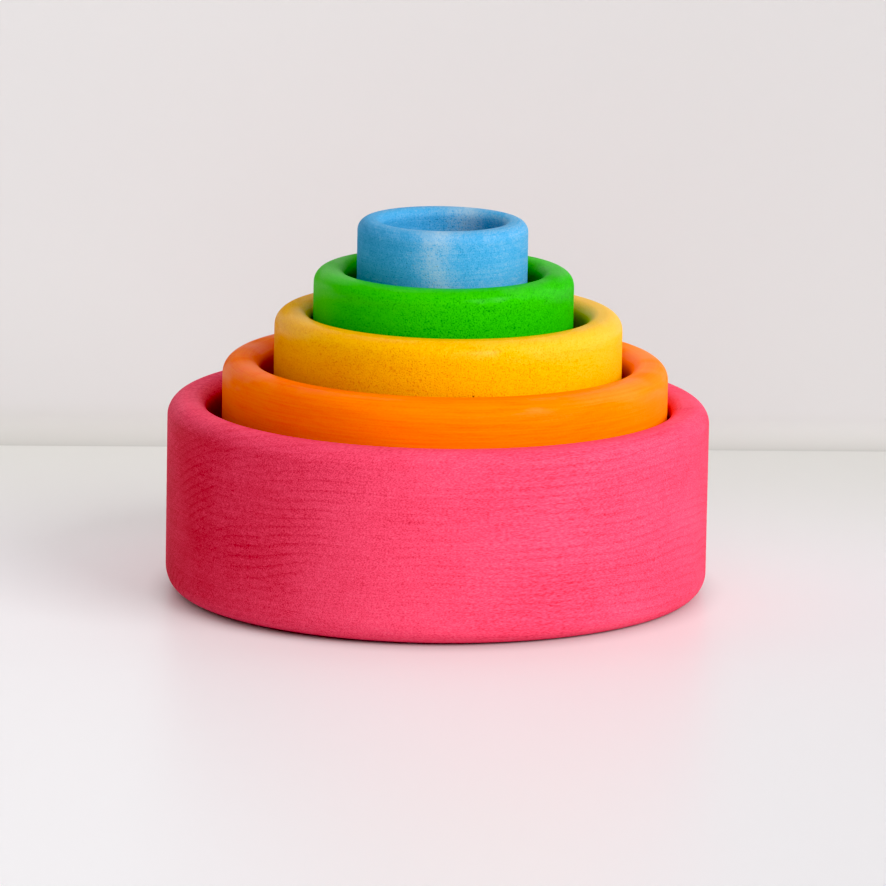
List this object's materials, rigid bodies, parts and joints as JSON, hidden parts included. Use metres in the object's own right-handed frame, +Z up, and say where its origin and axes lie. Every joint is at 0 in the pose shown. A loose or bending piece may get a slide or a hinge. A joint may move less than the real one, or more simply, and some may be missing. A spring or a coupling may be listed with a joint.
{
  "type": "stacking bowl tower",
  "caption": "Turned wooden toy bowls in stained rainbow colours that nest inside one another as a stepped tower; each lifts straight out of the bowl around it.",
  "frame": {"origin": "centre of the red bowl's underside, the outermost bowl, at the surface it stands on", "axes": "+Z up along the red bowl's own axis, and +X to the right as seen from the front; the inner bowls stand off centre along X"},
  "size_m": [0.11, 0.11, 0.076],
  "materials": {
    "red_wood": "pink-red water stain on close-grained hardwood, sanded and waxed matt",
    "orange_wood": "orange water stain on close-grained hardwood, sanded and waxed matt",
    "yellow_wood": "yellow water stain on close-grained hardwood, sanded and waxed matt",
    "green_wood": "green water stain on close-grained hardwood, sanded and waxed matt",
    "blue_wood": "blue water stain on close-grained hardwood, sanded and waxed matt"
  },
  "bodies": {
    "red": {"red_bowl": "red_wood"},
    "orange": {"orange_bowl": "orange_wood"},
    "yellow": {"yellow_bowl": "yellow_wood"},
    "green": {"green_bowl": "green_wood"},
    "blue": {"blue_bowl": "blue_wood"}
  },
  "joints": [
    {"name": "orange_lift", "type": "slide", "parent": "red", "child": "orange", "axis": [0, 0, 1], "range_m": [0, 0.04]},
    {"name": "yellow_lift", "type": "slide", "parent": "orange", "child": "yellow", "axis": [0, 0, 1], "range_m": [0, 0.04]},
    {"name": "green_lift", "type": "slide", "parent": "yellow", "child": "green", "axis": [0, 0, 1], "range_m": [0, 0.04]},
    {"name": "blue_lift", "type": "slide", "parent": "green", "child": "blue", "axis": [0, 0, 1], "range_m": [0, 0.04]}
  ]
}
